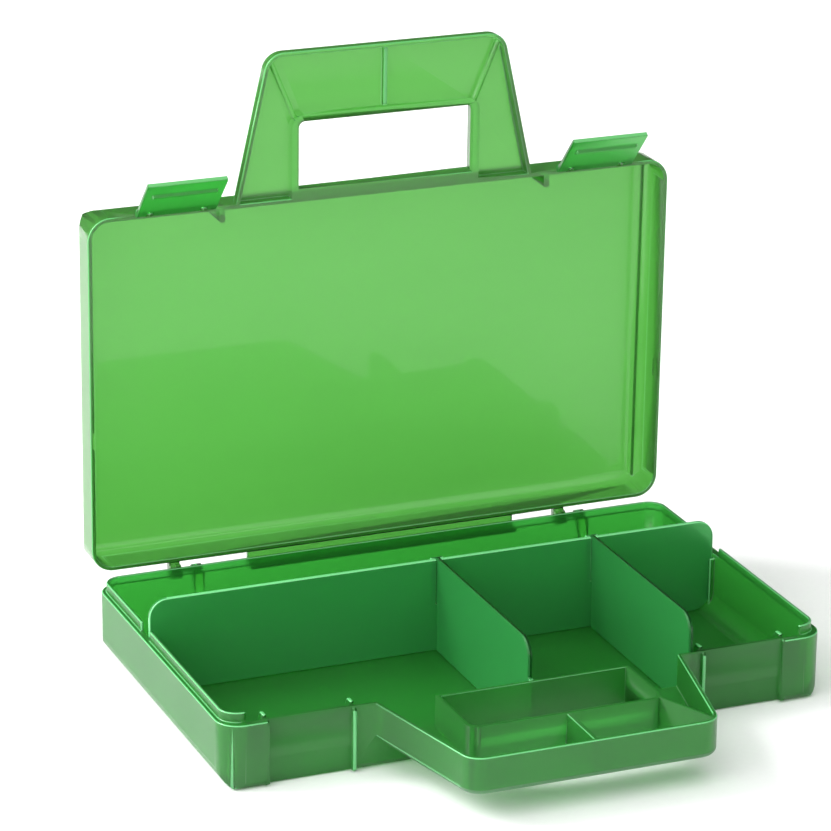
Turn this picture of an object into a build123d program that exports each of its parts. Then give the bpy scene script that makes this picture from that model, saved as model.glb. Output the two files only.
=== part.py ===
"""Hinged sorting case of moulded plastic with an open carry handle.

A shallow base tray and a lid share one outline: a rounded rectangle with a tapered handle on its
front side. The lid turns on stub pins behind the tray, two latches hang from the lid's front wall,
and one long and two cross dividers lift out of the tray. The case is drawn standing on a table with
its lid open. +X runs along the width, +Y towards the hinge and +Z up. The origin is the middle of
the tray's underside. All sizes are in millimetres.
"""
import os

from build123d import *

# Overall sizes
case_width = 270.0
case_depth = 160.0
base_height = 28.6
lid_height = 19.2
corner_radius = 10.0
side_round = 9.0
tray_inner_round = 9.0
lid_side_round = 9.0
lid_end_round = 7.5
edge_round = 2.5
tray_edge_round = 4.0
side_ease = 0.04

# Walls
wall = 1.8
sink = 0.5
cut_past = 1.0
floor = 2.0
lip_wall = 1.2
lip_height = 4.1
lip_clearance = 0.25
lid_seat_gap = 0.2
lip_end = 124.0
lip_gap_centre = 19.4
lip_gap_length = 11.4

# Carry handle
handle_reach = 64.7
handle_root = 68.6
handle_tip = 54.3
handle_corner = 9.0
handle_underside = 12.4
handle_lid_height = 6.2
hand_hole_half = 41.5
hand_hole_back = 2.5
hand_hole_length = 32.5
hand_hole_corner = 4.0
rib_wall = 1.8
lid_hole_inset = 1.2
lid_rib_rise = 2.4

# Lid hinge
hinge_offset = 4.0
pin_radius = 1.2
pin_clearance = 0.06
hinge_boss_radius = 1.9
lug_radius = 3.1
lug_width = 4.8
lug_places = (-97.5, 86.3)
bracket_width = 4.2
bracket_foot = 16.8
bracket_gap = 5.4
hinge_side_gap = 0.4
leaf_half = 63.5
leaf_wall = 1.8
leaf_reach = 2.7
stop_gap = 0.35
lid_opening = 89.4

# Lid details
lid_fin_places = (-75.0, 75.9)
lid_fin_wall = 2.6
lid_fin_reach = 7.3
lid_fin_round = 1.1
notch_depth = 0.9
notch_length = 8.2
notch_height = 5.0
lug_rise = 3.2

# Latches
latch_centre = 97.05
latch_width = 35.2
latch_wall = 2.0
latch_pivot_front = 2.0
latch_pivot_drop = 3.3
latch_reach = 23.4
latch_barrel_radius = 1.7
latch_pin_radius = 1.0
latch_pin_clearance = 0.06
latch_opening = 48.0
ear_radius = 1.9
ear_width = 2.4
ear_spread = 12.0
ear_side_gap = 0.35
ear_rise = 4.6
hook_drop = 14.2
hook_height = 1.9
hook_depth = 1.2
hook_inset = 3.2

# Latch bays in the front wall
bay_margin = 0.35
bay_recess = 0.8
bay_undercut = 0.9
bay_backing = 1.0
bay_sill = 11.6
fin_wall = 1.6
fin_front = 1.6
fin_reach = 8.3
fin_rise = 1.6
fin_foot = 1.0
fin_toe = 6.0
fin_chamfer = 1.2
fin_slope = 2.0
fin_top_gap = 0.3

# Dividers
divider_wall = 2.0
divider_top = 44.5
divider_line = 19.5
divider_play = 0.3
divider_corner = 8.0
guide_reach = 2.2
guide_wall = 1.4
cross_places = (0.0, 73.3)
lap_height = 24.0
lap_play = 0.15
hook_head_width = 6.0
hook_head_wall = 1.5

# Places worked out from the sizes
front = -case_depth / 2
rear = case_depth / 2
rim_level = base_height + lid_seat_gap
lid_top = rim_level + lid_height
handle_floor = handle_underside + floor
ledge = wall + lip_clearance
base_wall = ledge + lip_wall
hinge_y = rear + hinge_offset
hinge_z = base_height
hinge_line = Axis((0, hinge_y, hinge_z), (1, 0, 0))
latch_pivot_y = front - latch_pivot_front
latch_pivot_z = rim_level - latch_pivot_drop - lid_seat_gap
latch_tip_z = latch_pivot_z - latch_reach
latch_back = front - latch_pivot_front + latch_barrel_radius
bay_half = latch_width / 2 + bay_margin
bay_outer = latch_centre + bay_half + fin_wall / 2
boss_edge = 0.7 * hinge_boss_radius


def rounded_block(inset, low, high, side, side_radius, end_radius):
    """A block of the tray's plan, inset all round, with its side edges and its end edges rounded.

    The rounding starts a hair outside the plan, so that the curved faces cross at each corner.
    """
    with BuildPart() as block:
        with BuildSketch(Plane.XY.offset(low)):
            RectangleRounded(case_width - 2 * inset, case_depth - 2 * inset, corner_radius - inset)
        extrude(amount=high - low)
        with BuildSketch(Plane.XZ) as front_view:
            with Locations((0, (low + high) / 2)):
                Rectangle(case_width - 2 * (inset - side_ease), high - low)
            fillet(front_view.vertices().group_by(Axis.Y)[side], side_radius)
        extrude(amount=case_depth, both=True, mode=Mode.INTERSECT)
        with BuildSketch(Plane.YZ) as side_view:
            with Locations((0, (low + high) / 2)):
                Rectangle(case_depth - 2 * (inset - side_ease), high - low)
            fillet(side_view.vertices().group_by(Axis.Y)[side], end_radius)
        extrude(amount=case_width, both=True, mode=Mode.INTERSECT)
    return block.part


def handle_plan(inset, back):
    """The handle's tapered plan, inset from its outer face, reaching back into the tray."""
    slope = (handle_root - handle_tip) / handle_reach
    side_inset = inset * (1 + slope**2) ** 0.5
    tip_y = front - handle_reach + inset
    half_tip = handle_tip - side_inset + slope * inset
    half_back = handle_root - side_inset + slope * (back - front)
    with BuildSketch() as plan:
        with BuildLine():
            corners = [(-half_back, back), (-half_tip, tip_y), (half_tip, tip_y), (half_back, back)]
            Polyline(*corners, close=True)
        make_face()
        fillet(plan.vertices().group_by(Axis.Y)[0], handle_corner - inset)
    return plan.sketch


def hand_hole_plan(outset):
    """The hand hole's plan, grown by an outset; its two outer corners are the rounded ones."""
    middle_y = front - hand_hole_back - hand_hole_length / 2
    with BuildSketch() as plan:
        with Locations((0, middle_y)):
            Rectangle(2 * (hand_hole_half + outset), hand_hole_length + 2 * outset)
        fillet(plan.vertices().group_by(Axis.Y)[0], hand_hole_corner + outset)
    return plan.sketch


def handle_ribs_plan(thickness):
    """The handle bar's three cross walls: one in the middle and one out to each corner."""
    bar_y = front - hand_hole_back - hand_hole_length
    tip_y = front - handle_reach
    with BuildSketch() as plan:
        with Locations((0, (bar_y + tip_y) / 2)):
            Rectangle(thickness, bar_y - tip_y)
        for side in (-1, 1):
            with BuildLine():
                Line((side * hand_hole_half, bar_y), (side * (handle_tip - sink), tip_y + sink))
            trace(line_width=thickness)
    return plan.sketch


def lid_trough_plan():
    """The hollow of the lid's handle: the handle's plan less the hand hole's surround."""
    with BuildSketch() as plan:
        add(handle_plan(wall, front))
        add(hand_hole_plan(wall), mode=Mode.SUBTRACT)
        with Locations((0, front - hand_hole_back / 2)):
            Rectangle(2 * (hand_hole_half + wall), hand_hole_back, mode=Mode.SUBTRACT)
    return plan.sketch


def rim_plan(inset):
    """The tray's plan alone, inset all round."""
    with BuildSketch() as plan:
        RectangleRounded(case_width - 2 * inset, case_depth - 2 * inset, corner_radius - inset)
    return plan.sketch


def lip_plan():
    """The thin lip inside the lid's wall, with its gaps at the front and beside the long divider."""
    with BuildSketch() as plan:
        add(rim_plan(ledge))
        add(rim_plan(base_wall), mode=Mode.SUBTRACT)
        with Locations((0, front)):
            Rectangle(2 * lip_end, 2 * corner_radius, mode=Mode.SUBTRACT)
        with Locations((0, lip_gap_centre)):
            Rectangle(case_width, lip_gap_length, mode=Mode.SUBTRACT)
    return plan.sketch


def box_between(low, high):
    """A plain box from its lowest corner to its highest corner."""
    centre = [(a + b) / 2 for a, b in zip(low, high)]
    size = [b - a for a, b in zip(low, high)]
    return Pos(*centre) * Box(*size, mode=Mode.PRIVATE)


def hull_plan(points, centre, radius):
    """An arm seen from the side: the corners given, joined to a round eye."""
    with BuildSketch() as plan:
        Polygon(*points, align=None)
        with Locations(centre):
            Circle(radius)
    return plan.sketch


# Handle troughs, drawn first because the tray and the lid both take one.
with BuildPart() as base_handle:
    with BuildSketch(Plane.XY.offset(handle_underside)):
        add(handle_plan(0, front + ledge))
    extrude(amount=base_height - handle_underside)
    fillet(base_handle.faces().sort_by(Axis.Z)[0].edges(), edge_round)

with BuildPart() as lid_handle:
    with BuildSketch(Plane.XY.offset(rim_level)):
        add(handle_plan(0, front + ledge))
    extrude(amount=handle_lid_height)
    fillet(lid_handle.faces().sort_by(Axis.Z)[-1].edges(), edge_round)

# Upright guides for the long divider's ends, kept inside the tray's rounded wall.
with BuildPart() as divider_guides:
    for side in (-1, 1):
        for step in (-1, 1):
            guide_y = divider_line + step * (divider_wall / 2 + divider_play + guide_wall / 2)
            with Locations((side * (case_width / 2 - base_wall), guide_y, base_height / 2)):
                Box(2 * guide_reach, guide_wall, base_height - 2 * floor)
    add(rounded_block(wall / 2, floor / 2, base_height, 0, side_round, tray_edge_round), mode=Mode.INTERSECT)

# The tray's two front corners, which stand proud of the latch bays beside them.
with BuildPart() as tray_corners:
    add(Pos(0, -fin_front, 0) * rounded_block(0, 0, base_height, 0, side_round, tray_edge_round))
    corner_start = (-bay_outer, front - fin_front - cut_past, -cut_past)
    add(box_between(corner_start, (bay_outer, rear, base_height + cut_past)), mode=Mode.SUBTRACT)
    back_start = (-case_width, front + corner_radius, -cut_past)
    add(box_between(back_start, (case_width, rear, base_height + cut_past)), mode=Mode.SUBTRACT)

# Base tray: a rounded tub with the handle's trough, open at the top.
with BuildPart() as base_tray:
    add(rounded_block(0, 0, base_height, 0, side_round, tray_edge_round))
    add(tray_corners.part)
    add(base_handle.part)
    inside_top = base_height + cut_past
    add(rounded_block(base_wall, floor, inside_top, 0, tray_inner_round, edge_round / 2), mode=Mode.SUBTRACT)
    front_strip = ((-lip_end, front + wall, floor), (lip_end, front + corner_radius, inside_top))
    add(box_between(*front_strip), mode=Mode.SUBTRACT)
    with BuildSketch(Plane.XY.offset(handle_floor)):
        add(handle_plan(wall, front + ledge))
        add(hand_hole_plan(wall), mode=Mode.SUBTRACT)
        add(handle_ribs_plan(rib_wall), mode=Mode.SUBTRACT)
    extrude(amount=base_height - handle_floor, mode=Mode.SUBTRACT)
    with BuildSketch():
        add(hand_hole_plan(0))
    extrude(amount=base_height, mode=Mode.SUBTRACT)
    with BuildSketch(Plane.XY.offset(base_height)):
        add(lip_plan())
    extrude(amount=lip_height)
    fin_top = base_height - fin_top_gap
    fin_back = front + base_wall - lip_wall / 2
    # Latch bays: a backed panel, set back, with a sill that the latch hooks under.
    for side in (-1, 1):
        bay_low = side * latch_centre - bay_half
        bay_high = side * latch_centre + bay_half
        panel = front + bay_recess
        backing = ((bay_low - fin_wall, front + wall / 2, floor / 2),
                   (bay_high + fin_wall, front + wall + bay_backing, base_height))
        add(box_between(*backing))
        bay_start = (bay_low, front - cut_past, -cut_past)
        add(box_between(bay_start, (bay_high, panel, inside_top)), mode=Mode.SUBTRACT)
        sill = (bay_start, (bay_high, panel + bay_undercut, bay_sill))
        add(box_between(*sill), mode=Mode.SUBTRACT)
        for fin_x in (bay_low - fin_wall / 2, bay_high + fin_wall / 2):
            with BuildSketch(Plane.YZ.offset(fin_x)):
                with BuildLine():
                    Polyline(
                        (front - fin_front, fin_foot),
                        (front - fin_front, fin_top - fin_chamfer),
                        (front - fin_front + fin_chamfer, fin_top),
                        (fin_back, fin_top),
                        (fin_back, base_height + fin_rise),
                        (front + fin_reach - fin_slope, base_height + fin_rise),
                        (front + fin_reach, fin_top - fin_chamfer),
                        (front + wall, fin_toe),
                        (front + wall, fin_foot),
                        close=True,
                    )
                make_face()
            extrude(amount=fin_wall / 2, both=True)
    add(divider_guides.part)
    # Hinge brackets behind the tray, each with a stub pin that the lid's lug turns on.
    for lug_x in lug_places:
        bracket_x = lug_x + lug_width / 2 + bracket_gap + bracket_width / 2
        with BuildSketch(Plane.YZ.offset(bracket_x)):
            foot = [(rear - sink, bracket_foot), (rear - sink, hinge_z - pin_radius),
                    (hinge_y, hinge_z), (hinge_y + boss_edge, hinge_z - boss_edge)]
            Polygon(*foot, align=None)
            with Locations((hinge_y, hinge_z)):
                Circle(hinge_boss_radius)
        extrude(amount=bracket_width / 2, both=True)
        pin_length = bracket_gap + lug_width + hinge_side_gap
        with BuildSketch(Plane.YZ.offset(bracket_x - bracket_width / 2 - pin_length)):
            with Locations((hinge_y, hinge_z)):
                Circle(pin_radius)
        extrude(amount=pin_length)

# The lid's stiffening fins, kept inside its rounded wall.
with BuildPart() as lid_fins:
    for fin_x in lid_fin_places:
        with BuildSketch(Plane.XY.offset(rim_level)) as fin_plan:
            with Locations((fin_x, front + (wall / 2 + lid_fin_reach) / 2)):
                Rectangle(lid_fin_wall, lid_fin_reach - wall / 2)
            fillet(fin_plan.vertices().group_by(Axis.Y)[-1], lid_fin_round)
        extrude(amount=lid_height)
    fin_limit = lid_top - wall / 2
    fin_side_round = lid_side_round - wall / 2
    fin_end_round = lid_end_round - wall / 2
    add(rounded_block(wall / 2, rim_level, fin_limit, -1, fin_side_round, fin_end_round), mode=Mode.INTERSECT)

# Lid, drawn closed: a shallow shell with the same outline, open towards the tray.
with BuildPart() as closed_lid:
    add(rounded_block(0, rim_level, lid_top, -1, lid_side_round, lid_end_round))
    add(lid_handle.part)
    inner_low = rim_level - cut_past
    inner_high = lid_top - wall
    inner_round = lid_side_round - wall
    inner_end_round = lid_end_round - wall
    add(rounded_block(wall, inner_low, inner_high, -1, inner_round, inner_end_round), mode=Mode.SUBTRACT)
    rib_depth = handle_lid_height - wall - lid_rib_rise
    with BuildSketch(Plane.XY.offset(rim_level)):
        add(lid_trough_plan())
    extrude(amount=rib_depth, mode=Mode.SUBTRACT)
    with BuildSketch(Plane.XY.offset(rim_level + rib_depth)):
        add(lid_trough_plan())
        add(handle_ribs_plan(rib_wall), mode=Mode.SUBTRACT)
    extrude(amount=lid_rib_rise, mode=Mode.SUBTRACT)
    with BuildSketch(Plane.XY.offset(rim_level)):
        add(hand_hole_plan(-lid_hole_inset))
    extrude(amount=handle_lid_height, mode=Mode.SUBTRACT)
    # Stiffening fins inside the front wall, beside the latches.
    add(lid_fins.part)
    # Shallow notches in the side walls, over the long divider's ends.
    notch_x = case_width / 2 - wall + notch_depth
    for side in (-1, 1):
        with Locations((side * (notch_x - wall / 2), lip_gap_centre, rim_level)):
            Box(wall, notch_length, 2 * notch_height, mode=Mode.SUBTRACT)
    # Hinge lugs.
    for lug_x in lug_places:
        arm = [(rear - sink, rim_level + lid_seat_gap), (rear - sink, rim_level + lug_rise),
               (hinge_y, hinge_z + lug_radius), (hinge_y, hinge_z)]
        with BuildSketch(Plane.YZ.offset(lug_x)):
            add(hull_plan(arm, (hinge_y, hinge_z), lug_radius))
            with Locations((hinge_y, hinge_z)):
                Circle(pin_radius + pin_clearance, mode=Mode.SUBTRACT)
        extrude(amount=lug_width / 2, both=True)
    # Long stop leaf: its lower edge comes to rest against the tray's rear wall.
    leaf_back = hinge_y + leaf_reach
    leaf_tip = hinge_z - hinge_offset + stop_gap
    leaf_low = rim_level + lid_seat_gap
    with BuildSketch(Plane.YZ):
        with BuildLine():
            Polyline(
                (rear - wall / 2, leaf_low),
                (leaf_back - leaf_wall, leaf_low),
                (leaf_back - leaf_wall, leaf_tip),
                (leaf_back, leaf_tip),
                (leaf_back, leaf_low + leaf_wall),
                (rear - wall / 2, leaf_low + leaf_wall),
                close=True,
            )
        make_face()
    extrude(amount=leaf_half, both=True)
    # Latch ears below the front wall.
    for latch_side in (-1, 1):
        for ear_side in (-1, 1):
            ear_x = latch_side * latch_centre + ear_side * ear_spread
            arm = [(front + sink, rim_level + lid_seat_gap), (front + sink, rim_level + ear_rise),
                   (latch_pivot_y - ear_radius, latch_pivot_z),
                   (latch_pivot_y + ear_radius, latch_pivot_z)]
            with BuildSketch(Plane.YZ.offset(ear_x)):
                add(hull_plan(arm, (latch_pivot_y, latch_pivot_z), ear_radius))
                with Locations((latch_pivot_y, latch_pivot_z)):
                    Circle(latch_pin_radius + latch_pin_clearance, mode=Mode.SUBTRACT)
            extrude(amount=ear_width / 2, both=True)

with BuildPart() as lid:
    add(closed_lid.part.rotate(hinge_line, -lid_opening))


def closed_latch(centre_x):
    """One latch hanging closed over its bay, notched round the lid's two ears."""
    half = latch_width / 2
    hook_top = latch_pivot_z - hook_drop
    notch_width = ear_width + 2 * ear_side_gap
    with BuildPart() as latch:
        with BuildSketch(Plane.YZ.offset(centre_x)):
            with BuildLine():
                Polyline(
                    (latch_back - latch_wall, latch_pivot_z),
                    (latch_back - latch_wall, latch_tip_z),
                    (latch_back, latch_tip_z),
                    (latch_back, latch_pivot_z),
                    close=True,
                )
            make_face()
            with Locations((latch_pivot_y, latch_pivot_z)):
                Circle(latch_barrel_radius)
        extrude(amount=half, both=True)
        with BuildSketch(Plane.YZ.offset(centre_x)):
            hook = [(latch_back - sink, hook_top), (latch_back + hook_depth, hook_top),
                    (latch_back + hook_depth, hook_top - hook_height),
                    (latch_back - sink, hook_top - hook_height - hook_depth)]
            Polygon(*hook, align=None)
        extrude(amount=half - hook_inset, both=True)
        for ear_side in (-1, 1):
            with Locations((centre_x + ear_side * ear_spread, latch_pivot_y, latch_pivot_z)):
                Box(notch_width, 4 * ear_radius, 2 * (ear_radius + ear_side_gap), mode=Mode.SUBTRACT)
        with BuildSketch(Plane.YZ.offset(centre_x)):
            with Locations((latch_pivot_y, latch_pivot_z)):
                Circle(latch_pin_radius)
        extrude(amount=ear_spread + ear_width, both=True)
    return latch.part


latch_line = Axis((0, latch_pivot_y, latch_pivot_z), (1, 0, 0))
with BuildPart() as left_latch:
    add(closed_latch(-latch_centre).rotate(latch_line, -latch_opening).rotate(hinge_line, -lid_opening))

with BuildPart() as right_latch:
    add(closed_latch(latch_centre).rotate(latch_line, -latch_opening).rotate(hinge_line, -lid_opening))

# Long divider, across the tray from wall to wall, slotted from its top for the cross dividers.
divider_foot = floor + divider_play
with BuildPart() as long_divider:
    with BuildSketch(Plane.XZ.offset(-divider_line)) as outline:
        with Locations((0, (divider_foot + divider_top) / 2)):
            Rectangle(case_width - 2 * (base_wall + divider_play), divider_top - divider_foot)
        fillet(outline.vertices().group_by(Axis.Y)[-1], divider_corner)
        fillet(outline.vertices().group_by(Axis.Y)[0], tray_inner_round)
        for cross_x in cross_places:
            with Locations((cross_x, divider_top)):
                slot_height = 2 * (divider_top - lap_height)
                Rectangle(divider_wall + 2 * lap_play, slot_height, mode=Mode.SUBTRACT)
    extrude(amount=divider_wall / 2, both=True)


def cross_divider(centre_x):
    """A cross divider: it laps over the long divider's slot and is held there by a small head."""
    front_end = front + wall + divider_play
    back_end = divider_line - divider_wall / 2 - divider_play
    head_start = divider_line + divider_wall / 2 + lap_play
    tongue_low = lap_height + divider_play
    with BuildPart() as plate:
        with BuildSketch(Plane.YZ.offset(centre_x)) as outline:
            with Locations(((front_end + back_end) / 2, (divider_foot + divider_top) / 2)):
                Rectangle(back_end - front_end, divider_top - divider_foot)
            fillet(outline.vertices().group_by(Axis.X)[0].sort_by(Axis.Y)[-1], divider_corner)
        extrude(amount=divider_wall / 2, both=True)
        half = divider_wall / 2
        tongue_end = head_start + sink
        tongue = ((centre_x - half, back_end - sink, tongue_low), (centre_x + half, tongue_end, divider_top))
        add(box_between(*tongue))
        head_half = hook_head_width / 2
        head_low = (centre_x - head_half, head_start, tongue_low)
        head_high = (centre_x + head_half, head_start + hook_head_wall, divider_top)
        add(box_between(head_low, head_high))
        if abs(centre_x) < hand_hole_half:
            toe_start = front - hand_hole_back + wall + divider_play
            toe_low = (centre_x - half, toe_start, handle_floor + divider_play)
            toe_high = (centre_x + half, front_end + sink, base_height - divider_play)
            add(box_between(toe_low, toe_high))
    return plate.part


with BuildPart() as centre_cross_divider:
    add(cross_divider(cross_places[0]))

with BuildPart() as right_cross_divider:
    add(cross_divider(cross_places[1]))

os.makedirs("parts", exist_ok=True)

base_tray.part.label = "base_tray"
export_step(base_tray.part, "parts/base_tray.step")
lid.part.label = "lid"
export_step(lid.part, "parts/lid.step")
left_latch.part.label = "left_latch"
export_step(left_latch.part, "parts/left_latch.step")
right_latch.part.label = "right_latch"
export_step(right_latch.part, "parts/right_latch.step")
long_divider.part.label = "long_divider"
export_step(long_divider.part, "parts/long_divider.step")
centre_cross_divider.part.label = "centre_cross_divider"
export_step(centre_cross_divider.part, "parts/centre_cross_divider.step")
right_cross_divider.part.label = "right_cross_divider"
export_step(right_cross_divider.part, "parts/right_cross_divider.step")
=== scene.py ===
"""Looks for the hinged sorting case: softened plastic pieces, small moulded details, light and floor."""

import math

import bmesh
import bpy
from mathutils import Matrix, Vector


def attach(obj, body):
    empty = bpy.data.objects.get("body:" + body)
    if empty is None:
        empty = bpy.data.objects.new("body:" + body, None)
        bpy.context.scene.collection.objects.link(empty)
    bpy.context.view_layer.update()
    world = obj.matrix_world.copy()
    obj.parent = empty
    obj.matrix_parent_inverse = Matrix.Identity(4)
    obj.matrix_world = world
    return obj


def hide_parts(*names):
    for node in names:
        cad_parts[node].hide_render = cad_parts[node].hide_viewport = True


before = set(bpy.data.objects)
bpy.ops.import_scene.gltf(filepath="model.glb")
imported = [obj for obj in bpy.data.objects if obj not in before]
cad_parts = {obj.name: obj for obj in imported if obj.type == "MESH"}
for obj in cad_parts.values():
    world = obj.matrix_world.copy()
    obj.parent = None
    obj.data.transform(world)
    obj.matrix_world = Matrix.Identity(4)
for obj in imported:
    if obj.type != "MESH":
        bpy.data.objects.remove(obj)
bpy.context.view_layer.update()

MM = 0.001

# Which body and which finish each moulded piece has: (piece, node, body, slot)
MOULDED_PIECES = (
    ("tray_shell", "base_tray", "base", "tray_plastic"),
    ("lid_shell", "lid", "lid", "lid_plastic"),
    ("left_latch_plate", "left_latch", "left_latch", "latch_plastic"),
    ("right_latch_plate", "right_latch", "right_latch", "latch_plastic"),
    ("long_divider_plate", "long_divider", "long_divider", "divider_plastic"),
    ("centre_divider_plate", "centre_cross_divider", "centre_cross_divider", "divider_plastic"),
    ("right_divider_plate", "right_cross_divider", "right_cross_divider", "divider_plastic"),
)

# Softened edges and the rims between them, which get the painted rim highlight
EDGE_SOFTENING = 0.45 * MM
WELD_DISTANCE = 0.002 * MM
FLAT_ANGLE = math.radians(0.6)
SHARP_ANGLE = math.radians(32)
SHORTEST_EDGE = 0.92 * MM
THIN_FACE = 0.4 * MM
RIM_WIDTH = 1.3 * MM
RIM_TURN = math.radians(28)
RIM_HIGHLIGHT_LOWEST_TILT = -0.2
SHADING_WEIGHT = 100
SHADING_THRESHOLD = 0.001

# Plastic: optics, satin grain, and the slow clouds and streaks in its colour
PLASTIC_IOR = 1.49
PLASTIC_SPECULAR = 0.15
GRAIN_STRENGTH = 0.12
GRAIN_DEPTH = 0.15 * MM
CLOUD_DETAIL = 2
STREAK_DETAIL = 3
STREAK_STRETCH = (0.25, 1.0, 1.0)
CLOUD_CONTRAST = 2.4
GRAIN_DETAIL = 2
WAVE_DETAIL = 1
# Coat and roughness of the opaque rim material that carries the painted rim highlight
RIM_SHINE = 0.4
RIM_GLOSS = 0.12
RIM_ROUGHNESS = 0.3

# Ejector pin marks in the tray's floor
FLOOR_LEVEL = 2.0 * MM
PIN_MARK_RADIUS = 3.0 * MM
PIN_MARK_WALL = 0.16 * MM
PIN_MARK_COLUMNS = 6
PIN_MARK_SPACING = 44.0 * MM
PIN_MARK_LINE = 50.0 * MM
RING_SIDES = 40
RING_WALL_SIDES = 8

# View and light
CAMERA_PLACE = Vector((-0.629432, -1.462656, 0.688971))
CAMERA_YAW = math.radians(-22.636)
CAMERA_PITCH = math.radians(-19.784)
CAMERA_ROLL = math.radians(0.628)
CAMERA_LENS = 174.69
CAMERA_SENSOR = 36
BRIGHT_SIDE = (-0.5, -0.45, 0.74)
DIM_SIDE_LIGHT = 0.04
DIM_SIDE_END = 0.06
BRIGHT_SIDE_START = 0.76
ROOM_STRENGTH = 1.65
LIGHT_AIM = (0, 0, 0.08)
LIGHT_SIZE = 1.2
KEY_PLACE = (-1.9, 1.1, 1.7)
KEY_POWER = 70
FILL_PLACE = (-1.8, -0.5, 0.9)
FILL_POWER = 14
FLOOR_HALF_SIZE = 8.0
FLOOR_DROP = 0.02 * MM
PAPER_ROUGHNESS = 0.9
PAPER_FIBRE_SCALE = 400
PAPER_TONES = (0.9, 0.94)


def new_group(name, inputs, outputs):
    """A node group with named sockets; inputs are (name, type, default) and outputs (name, type)."""
    group = bpy.data.node_groups.new(name, "ShaderNodeTree")
    for label, kind, default in inputs:
        socket = group.interface.new_socket(name=label, in_out="INPUT", socket_type=kind)
        socket.default_value = default
    for label, kind in outputs:
        group.interface.new_socket(name=label, in_out="OUTPUT", socket_type=kind)
    return group


def noise_node(nodes, links, coordinates, scale, detail):
    """Three-dimensional noise on the given coordinates."""
    noise = nodes.new("ShaderNodeTexNoise")
    noise.inputs["Detail"].default_value = detail
    links.new(coordinates, noise.inputs["Vector"])
    links.new(scale, noise.inputs["Scale"])
    return noise.outputs["Fac"]


def math_node(nodes, links, operation, first, second):
    """A Math node; each input is a socket or a number."""
    node = nodes.new("ShaderNodeMath")
    node.operation = operation
    for place, value in enumerate((first, second)):
        if isinstance(value, bpy.types.NodeSocket):
            links.new(value, node.inputs[place])
        else:
            node.inputs[place].default_value = value
    return node.outputs["Value"]


def mix_node(nodes, links, factor, first, second):
    """A colour mix of two sockets by a factor socket."""
    node = nodes.new("ShaderNodeMix")
    node.data_type = "RGBA"
    links.new(factor, node.inputs["Factor"])
    links.new(first, node.inputs["A"])
    links.new(second, node.inputs["B"])
    return node.outputs["Result"]


def moulded_colour_group():
    """Plastic colour with slow flow clouds, streaks from the mould's fill, and a painted highlight: paler
    thin rounded edges.
    """
    group = new_group(
        "Moulded Colour",
        (
            ("Colour", "NodeSocketColor", (0.1, 0.5, 0.1, 1)),
            ("Cloud Colour", "NodeSocketColor", (0.1, 0.5, 0.1, 1)),
            ("Edge Highlight Colour", "NodeSocketColor", (0.3, 0.8, 0.3, 1)),
            ("Cloud Scale", "NodeSocketFloat", 9.0),
            ("Streak Scale", "NodeSocketFloat", 40.0),
            ("Edge Highlight Strength", "NodeSocketFloat", 0.5),
        ),
        (("Colour", "NodeSocketColor"),),
    )
    nodes, links = group.nodes, group.links
    enter = nodes.new("NodeGroupInput")
    leave = nodes.new("NodeGroupOutput")
    place = nodes.new("ShaderNodeTexCoord")
    clouds = noise_node(nodes, links, place.outputs["Object"], enter.outputs["Cloud Scale"], CLOUD_DETAIL)
    stretch = nodes.new("ShaderNodeMapping")
    stretch.inputs["Scale"].default_value = STREAK_STRETCH
    links.new(place.outputs["Object"], stretch.inputs["Vector"])
    streak_scale = enter.outputs["Streak Scale"]
    streaks = noise_node(nodes, links, stretch.outputs["Vector"], streak_scale, STREAK_DETAIL)
    shared = math_node(nodes, links, "MULTIPLY", clouds, streaks)
    spread = math_node(nodes, links, "MULTIPLY", shared, CLOUD_CONTRAST)
    body = mix_node(nodes, links, spread, enter.outputs["Colour"], enter.outputs["Cloud Colour"])
    # Painted highlight: thin rounded edges are mixed towards the paler edge colour.
    edge = nodes.new("ShaderNodeAttribute")
    edge.attribute_name = "painted_edge_highlight"
    highlight_share = math_node(nodes, links, "MULTIPLY", edge.outputs["Fac"], enter.outputs["Edge Highlight Strength"])
    result = mix_node(nodes, links, highlight_share, body, enter.outputs["Edge Highlight Colour"])
    links.new(result, leave.inputs["Colour"])
    return group


def moulded_surface_group():
    """Satin of a fine-eroded mould: a small grain over a slow wave from cooling."""
    group = new_group(
        "Moulded Surface",
        (
            ("Roughness", "NodeSocketFloat", 0.3),
            ("Roughness Spread", "NodeSocketFloat", 0.08),
            ("Grain Scale", "NodeSocketFloat", 1800.0),
            ("Wave Scale", "NodeSocketFloat", 30.0),
            ("Grain Share", "NodeSocketFloat", 0.25),
        ),
        (("Roughness", "NodeSocketFloat"), ("Height", "NodeSocketFloat")),
    )
    nodes, links = group.nodes, group.links
    enter = nodes.new("NodeGroupInput")
    leave = nodes.new("NodeGroupOutput")
    place = nodes.new("ShaderNodeTexCoord")
    grain = noise_node(nodes, links, place.outputs["Object"], enter.outputs["Grain Scale"], GRAIN_DETAIL)
    wave = noise_node(nodes, links, place.outputs["Object"], enter.outputs["Wave Scale"], WAVE_DETAIL)
    centred = math_node(nodes, links, "SUBTRACT", wave, 0.5)
    spread = math_node(nodes, links, "MULTIPLY", centred, enter.outputs["Roughness Spread"])
    rough = math_node(nodes, links, "ADD", spread, enter.outputs["Roughness"])
    links.new(rough, leave.inputs["Roughness"])
    fine = math_node(nodes, links, "MULTIPLY", grain, enter.outputs["Grain Share"])
    height = math_node(nodes, links, "ADD", fine, wave)
    links.new(height, leave.inputs["Height"])
    return group


COLOUR_GROUP = moulded_colour_group()
SURFACE_GROUP = moulded_surface_group()


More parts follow.
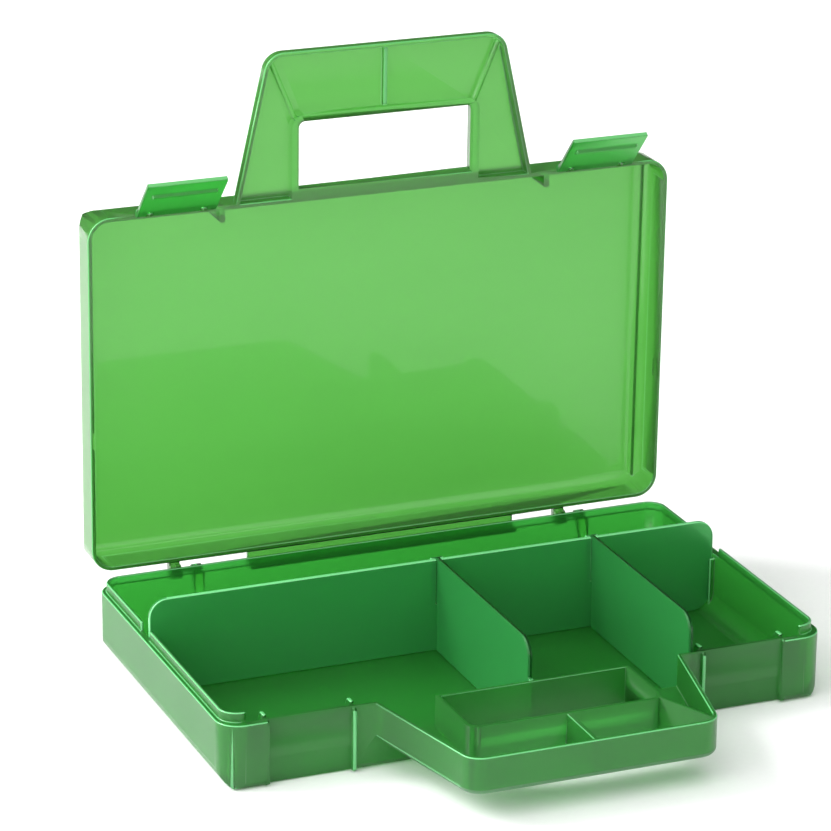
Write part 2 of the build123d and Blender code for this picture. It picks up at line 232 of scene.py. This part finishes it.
def moulded_finish(material, colour, cloud, edge, roughness):
    """Joins the colour and surface groups to a material's shader, with the edge colour as the painted
    highlight on thin rounded edges; returns the surface node.
    """
    nodes, links = material.node_tree.nodes, material.node_tree.links
    shader = nodes["Principled BSDF"]
    colours = nodes.new("ShaderNodeGroup")
    colours.node_tree = COLOUR_GROUP
    colours.inputs["Colour"].default_value = (*colour, 1)
    colours.inputs["Cloud Colour"].default_value = (*cloud, 1)
    colours.inputs["Edge Highlight Colour"].default_value = (*edge, 1)
    links.new(colours.outputs["Colour"], shader.inputs["Base Color"])
    surface = nodes.new("ShaderNodeGroup")
    surface.node_tree = SURFACE_GROUP
    surface.inputs["Roughness"].default_value = roughness
    links.new(surface.outputs["Roughness"], shader.inputs["Roughness"])
    return surface


def plastic(name, colour, cloud, edge, clearness, roughness, gloss, shine, depth_colour, depth_density):
    """Translucent moulded polypropylene with a satin skin; thick places take the depth colour."""
    material = bpy.data.materials.new(name)
    material.use_nodes = True
    nodes, links = material.node_tree.nodes, material.node_tree.links
    shader = nodes["Principled BSDF"]
    shader.inputs["IOR"].default_value = PLASTIC_IOR
    shader.inputs["Transmission Weight"].default_value = clearness
    shader.inputs["Specular IOR Level"].default_value = PLASTIC_SPECULAR
    shader.inputs["Coat Weight"].default_value = shine
    shader.inputs["Coat Roughness"].default_value = gloss
    shader.inputs["Coat IOR"].default_value = PLASTIC_IOR
    surface = moulded_finish(material, colour, cloud, edge, roughness)
    bump = nodes.new("ShaderNodeBump")
    bump.inputs["Strength"].default_value = GRAIN_STRENGTH
    bump.inputs["Distance"].default_value = GRAIN_DEPTH
    links.new(surface.outputs["Height"], bump.inputs["Height"])
    links.new(bump.outputs["Normal"], shader.inputs["Normal"])
    depth = nodes.new("ShaderNodeVolumeAbsorption")
    depth.inputs["Color"].default_value = (*depth_colour, 1)
    depth.inputs["Density"].default_value = depth_density
    links.new(depth.outputs["Volume"], nodes["Material Output"].inputs["Volume"])
    return material


def rim_highlight_plastic(name, colour, cloud):
    """Opaque and paler: a painted highlight on the narrow outer rims, where the real plastic gathers
    light.
    """
    material = bpy.data.materials.new(name)
    material.use_nodes = True
    shader = material.node_tree.nodes["Principled BSDF"]
    shader.inputs["IOR"].default_value = PLASTIC_IOR
    shader.inputs["Coat Weight"].default_value = RIM_SHINE
    shader.inputs["Coat Roughness"].default_value = RIM_GLOSS
    moulded_finish(material, colour, cloud, colour, RIM_ROUGHNESS)
    return material


def floor_paper():
    """Pale seamless paper with a faint fibre mottle."""
    material = bpy.data.materials.new("floor_paper")
    material.use_nodes = True
    nodes, links = material.node_tree.nodes, material.node_tree.links
    shader = nodes["Principled BSDF"]
    shader.inputs["Roughness"].default_value = PAPER_ROUGHNESS
    place = nodes.new("ShaderNodeTexCoord")
    fibres = nodes.new("ShaderNodeTexNoise")
    fibres.inputs["Scale"].default_value = PAPER_FIBRE_SCALE
    links.new(place.outputs["Object"], fibres.inputs["Vector"])
    tones = nodes.new("ShaderNodeValToRGB")
    for end, tone in zip(tones.color_ramp.elements, PAPER_TONES):
        end.color = (tone, tone, tone, 1)
    links.new(fibres.outputs["Fac"], tones.inputs["Fac"])
    links.new(tones.outputs["Color"], shader.inputs["Base Color"])
    return material


# edge: the paler colour of the painted highlight on thin rounded edges
MATERIALS = {
    "tray_plastic": plastic(
        "tray_plastic", colour=(0.06, 0.49, 0.08), cloud=(0.055, 0.45, 0.07), edge=(0.5, 0.95, 0.6),
        clearness=0.82, roughness=0.36, gloss=0.12, shine=0.12,
        depth_colour=(0.75, 0.9, 0.5), depth_density=300,
    ),
    "lid_plastic": plastic(
        "lid_plastic", colour=(0.135, 0.5, 0.09), cloud=(0.125, 0.47, 0.085), edge=(0.5, 0.95, 0.6),
        clearness=0.78, roughness=0.3, gloss=0.04, shine=0.5,
        depth_colour=(0.6, 0.93, 0.5), depth_density=300,
    ),
    "latch_plastic": plastic(
        "latch_plastic", colour=(0.08, 0.62, 0.1), cloud=(0.07, 0.58, 0.09), edge=(0.4, 0.95, 0.45),
        clearness=0.8, roughness=0.3, gloss=0.12, shine=0.25,
        depth_colour=(0.6, 0.93, 0.5), depth_density=300,
    ),
    "divider_plastic": plastic(
        "divider_plastic", colour=(0.055, 0.45, 0.11), cloud=(0.05, 0.41, 0.1), edge=(0.35, 0.9, 0.42),
        clearness=0.6, roughness=0.34, gloss=0.12, shine=0.3,
        depth_colour=(0.6, 0.93, 0.5), depth_density=300,
    ),
}

# Opaque paler rim materials: painted highlights on the outward rims
RIM_HIGHLIGHT_MATERIALS = {
    "tray_plastic": rim_highlight_plastic("tray_rim_highlight", (0.11, 0.46, 0.16), (0.1, 0.42, 0.14)),
    "lid_plastic": rim_highlight_plastic("lid_rim_highlight", (0.09, 0.42, 0.11), (0.08, 0.38, 0.1)),
    "latch_plastic": rim_highlight_plastic("latch_rim_highlight", (0.09, 0.42, 0.11), (0.08, 0.38, 0.1)),
    "divider_plastic": rim_highlight_plastic("divider_rim_highlight", (0.16, 0.6, 0.23), (0.14, 0.54, 0.2)),
}


def soften(mesh):
    """Merges a copied CAD mesh, joins its flat faces, and rounds every sharp edge a little."""
    work = bmesh.new()
    work.from_mesh(mesh)
    bmesh.ops.remove_doubles(work, verts=work.verts, dist=WELD_DISTANCE)
    bmesh.ops.dissolve_limit(work, angle_limit=FLAT_ANGLE, verts=work.verts, edges=work.edges)
    tight = {v for e in work.edges if e.calc_length() < SHORTEST_EDGE for v in e.verts}
    sharp = [
        e for e in work.edges
        if len(e.link_faces) == 2 and e.calc_face_angle() > SHARP_ANGLE and not tight & set(e.verts)
    ]
    bmesh.ops.bevel(
        work, geom=sharp, offset=EDGE_SOFTENING, offset_type="OFFSET", segments=2, profile=0.5,
        affect="EDGES", clamp_overlap=False, miter_outer="SHARP", miter_inner="SHARP",
    )
    work.to_mesh(mesh)
    work.free()


def face_width(face):
    """Width of a long narrow face."""
    return face.calc_area() / max(edge.calc_length() for edge in face.edges)


def mark_edge_highlights(mesh):
    """Writes an attribute that is 1 on the middle line of each rounded edge and 0 elsewhere; it places
    the painted edge highlight.
    """
    work = bmesh.new()
    work.from_mesh(mesh)
    layer = work.verts.layers.float.new("painted_edge_highlight")
    for vert in work.verts:
        widths = [face_width(face) for face in vert.link_faces]
        vert[layer] = 1.0 if widths and max(widths) < THIN_FACE else 0.0
    work.to_mesh(mesh)
    work.free()


def paint_rim_highlights(mesh):
    """Gives outward rounded rims that do not face down, and the narrow flats between them, the mesh's
    second material: the painted rim highlight.
    """
    work = bmesh.new()
    work.from_mesh(mesh)
    for face in work.faces:
        # Faces turned downwards get no painted highlight.
        if face_width(face) >= THIN_FACE or face.normal.z < RIM_HIGHLIGHT_LOWEST_TILT:
            continue
        centre = face.calc_center_median()
        others = [other for edge in face.edges for other in edge.link_faces if other is not face]
        rise = sum((other.calc_center_median() - centre).dot(face.normal) for other in others)
        turn = max(other.normal.angle(face.normal, 0) for other in others)
        if rise < 0 and turn > RIM_TURN:
            face.material_index = 1
    rounded = {face for face in work.faces if face.material_index == 1}
    for face in work.faces:
        if face in rounded or face_width(face) >= RIM_WIDTH:
            continue
        length = max(edge.calc_length() for edge in face.edges)
        sides = [edge for edge in face.edges if edge.calc_length() > length / 2]
        if all(rounded.intersection(edge.link_faces) for edge in sides):
            face.material_index = 1
    work.to_mesh(mesh)
    work.free()


def applied(obj):
    """Turns an object's evaluated result into a plain mesh and removes its modifiers."""
    bpy.context.view_layer.update()
    graph = bpy.context.evaluated_depsgraph_get()
    mesh = bpy.data.meshes.new_from_object(obj.evaluated_get(graph))
    obj.modifiers.clear()
    obj.data = mesh


def moulded_piece(name, node, body, slot):
    """A softened copy of a CAD node that stands for it."""
    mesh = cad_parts[node].data.copy()
    mesh.name = name
    mesh.materials.clear()
    mesh.materials.append(MATERIALS[slot])
    # Second material: the painted rim highlight.
    mesh.materials.append(RIM_HIGHLIGHT_MATERIALS[slot])
    soften(mesh)
    mark_edge_highlights(mesh)
    paint_rim_highlights(mesh)
    mesh.shade_smooth()
    piece = bpy.data.objects.new(name, mesh)
    bpy.context.scene.collection.objects.link(piece)
    normals = piece.modifiers.new("Even shading", "WEIGHTED_NORMAL")
    normals.mode = "FACE_AREA"
    normals.weight = SHADING_WEIGHT
    normals.thresh = SHADING_THRESHOLD
    applied(piece)
    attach(piece, body)
    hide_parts(node)


for piece_entry in MOULDED_PIECES:
    moulded_piece(*piece_entry)


def geometry_tree(name, inputs):
    """An empty geometry tree with named inputs, a material input and one geometry output."""
    tree = bpy.data.node_groups.new(name, "GeometryNodeTree")
    for label, kind, default in inputs:
        socket = tree.interface.new_socket(name=label, in_out="INPUT", socket_type=kind)
        socket.default_value = default
    tree.interface.new_socket(name="Material", in_out="INPUT", socket_type="NodeSocketMaterial")
    tree.interface.new_socket(name="Geometry", in_out="OUTPUT", socket_type="NodeSocketGeometry")
    return tree


def close_tree(tree, enter, geometry):
    """Ends a tree with realised instances and its material."""
    nodes, links = tree.nodes, tree.links
    real = nodes.new("GeometryNodeRealizeInstances")
    finish = nodes.new("GeometryNodeSetMaterial")
    leave = nodes.new("NodeGroupOutput")
    links.new(geometry, real.inputs["Geometry"])
    links.new(real.outputs["Geometry"], finish.inputs["Geometry"])
    links.new(enter.outputs["Material"], finish.inputs["Material"])
    links.new(finish.outputs["Geometry"], leave.inputs["Geometry"])


def pin_mark_tree():
    """A row of thin raised rings, as ejector pins leave in a moulded floor."""
    tree = geometry_tree(
        "Ejector marks",
        (
            ("Columns", "NodeSocketInt", PIN_MARK_COLUMNS),
            ("Spacing", "NodeSocketFloat", PIN_MARK_SPACING),
            ("Radius", "NodeSocketFloat", PIN_MARK_RADIUS),
            ("Wall", "NodeSocketFloat", PIN_MARK_WALL),
        ),
    )
    nodes, links = tree.nodes, tree.links
    enter = nodes.new("NodeGroupInput")
    step = nodes.new("ShaderNodeCombineXYZ")
    links.new(enter.outputs["Spacing"], step.inputs["X"])
    row = nodes.new("GeometryNodeMeshLine")
    links.new(enter.outputs["Columns"], row.inputs["Count"])
    links.new(step.outputs["Vector"], row.inputs["Offset"])
    circle = nodes.new("GeometryNodeCurvePrimitiveCircle")
    circle.inputs["Resolution"].default_value = RING_SIDES
    links.new(enter.outputs["Radius"], circle.inputs["Radius"])
    section = nodes.new("GeometryNodeCurvePrimitiveCircle")
    section.inputs["Resolution"].default_value = RING_WALL_SIDES
    links.new(enter.outputs["Wall"], section.inputs["Radius"])
    ring = nodes.new("GeometryNodeCurveToMesh")
    links.new(circle.outputs["Curve"], ring.inputs["Curve"])
    links.new(section.outputs["Curve"], ring.inputs["Profile Curve"])
    marks = nodes.new("GeometryNodeInstanceOnPoints")
    links.new(row.outputs["Mesh"], marks.inputs["Points"])
    links.new(ring.outputs["Mesh"], marks.inputs["Instance"])
    close_tree(tree, enter, marks.outputs["Instances"])
    return tree


def grown(name, tree, values, place, body):
    """Runs a tree with its values, moves the mesh to its place and makes it ride on a body."""
    piece = bpy.data.objects.new(name, bpy.data.meshes.new(name))
    bpy.context.scene.collection.objects.link(piece)
    grow = piece.modifiers.new("Grow", "NODES")
    grow.node_group = tree
    for item in tree.interface.items_tree:
        if item.item_type == "SOCKET" and item.in_out == "INPUT" and item.name in values:
            grow[item.identifier] = values[item.name]
    applied(piece)
    piece.data.transform(place)
    work = bmesh.new()
    work.from_mesh(piece.data)
    bmesh.ops.remove_doubles(work, verts=work.verts, dist=WELD_DISTANCE)
    bmesh.ops.recalc_face_normals(work, faces=work.faces)
    work.to_mesh(piece.data)
    work.free()
    piece.data.shade_smooth()
    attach(piece, body)


def floor_pin_marks():
    """The row of ejector marks on the floor of the rear compartment."""
    values = {
        "Columns": PIN_MARK_COLUMNS, "Spacing": PIN_MARK_SPACING, "Radius": PIN_MARK_RADIUS,
        "Wall": PIN_MARK_WALL, "Material": MATERIALS["tray_plastic"],
    }
    start_x = -PIN_MARK_SPACING * (PIN_MARK_COLUMNS - 1) / 2
    place = Matrix.Translation((start_x, PIN_MARK_LINE, FLOOR_LEVEL))
    grown("floor_pin_marks", pin_mark_tree(), values, place, "base")


floor_pin_marks()


def soft_light(name, place, power):
    """A square white soft box aimed at the case."""
    data = bpy.data.lights.new(name, "AREA")
    data.size = LIGHT_SIZE
    data.energy = power
    lamp = bpy.data.objects.new(name, data)
    lamp.location = place
    lamp.rotation_euler = (Vector(LIGHT_AIM) - Vector(place)).to_track_quat("-Z", "Y").to_euler()
    bpy.context.scene.collection.objects.link(lamp)


def pale_floor():
    """A wide sheet of paper just under the case."""
    mesh = bpy.data.meshes.new("floor")
    corners = [(-1, -1), (1, -1), (1, 1), (-1, 1)]
    points = [(x * FLOOR_HALF_SIZE, y * FLOOR_HALF_SIZE, -FLOOR_DROP) for x, y in corners]
    mesh.from_pydata(points, [], [(0, 1, 2, 3)])
    mesh.materials.append(floor_paper())
    floor = bpy.data.objects.new("floor", mesh)
    bpy.context.scene.collection.objects.link(floor)


def white_room():
    """Plain surroundings that are brightest above and towards the front left."""
    world = bpy.data.worlds.new("white_room")
    world.use_nodes = True
    nodes, links = world.node_tree.nodes, world.node_tree.links
    direction = nodes.new("ShaderNodeTexCoord")
    towards_light = nodes.new("ShaderNodeVectorMath")
    towards_light.operation = "DOT_PRODUCT"
    towards_light.inputs[1].default_value = BRIGHT_SIDE
    links.new(direction.outputs["Generated"], towards_light.inputs[0])
    sky = nodes.new("ShaderNodeValToRGB")
    sky.color_ramp.elements[0].position = DIM_SIDE_END
    sky.color_ramp.elements[0].color = (DIM_SIDE_LIGHT, DIM_SIDE_LIGHT, DIM_SIDE_LIGHT, 1)
    sky.color_ramp.elements[1].position = BRIGHT_SIDE_START
    sky.color_ramp.elements[1].color = (1, 1, 1, 1)
    links.new(towards_light.outputs["Value"], sky.inputs["Fac"])
    links.new(sky.outputs["Color"], nodes["Background"].inputs["Color"])
    nodes["Background"].inputs["Strength"].default_value = ROOM_STRENGTH
    bpy.context.scene.world = world


def photographer():
    """The camera, at its place and with its turn and tilt."""
    data = bpy.data.cameras.new("camera")
    data.lens = CAMERA_LENS
    data.sensor_width = CAMERA_SENSOR
    camera = bpy.data.objects.new("camera", data)
    turn = Matrix.Rotation(CAMERA_YAW, 4, "Z") @ Matrix.Rotation(math.pi / 2 + CAMERA_PITCH, 4, "X")
    camera.matrix_world = Matrix.Translation(CAMERA_PLACE) @ turn @ Matrix.Rotation(CAMERA_ROLL, 4, "Z")
    bpy.context.scene.collection.objects.link(camera)
    bpy.context.scene.camera = camera


pale_floor()
white_room()
soft_light("back_left_key", KEY_PLACE, KEY_POWER)
soft_light("left_fill", FILL_PLACE, FILL_POWER)
photographer()
bpy.context.scene.view_settings.view_transform = "Standard"
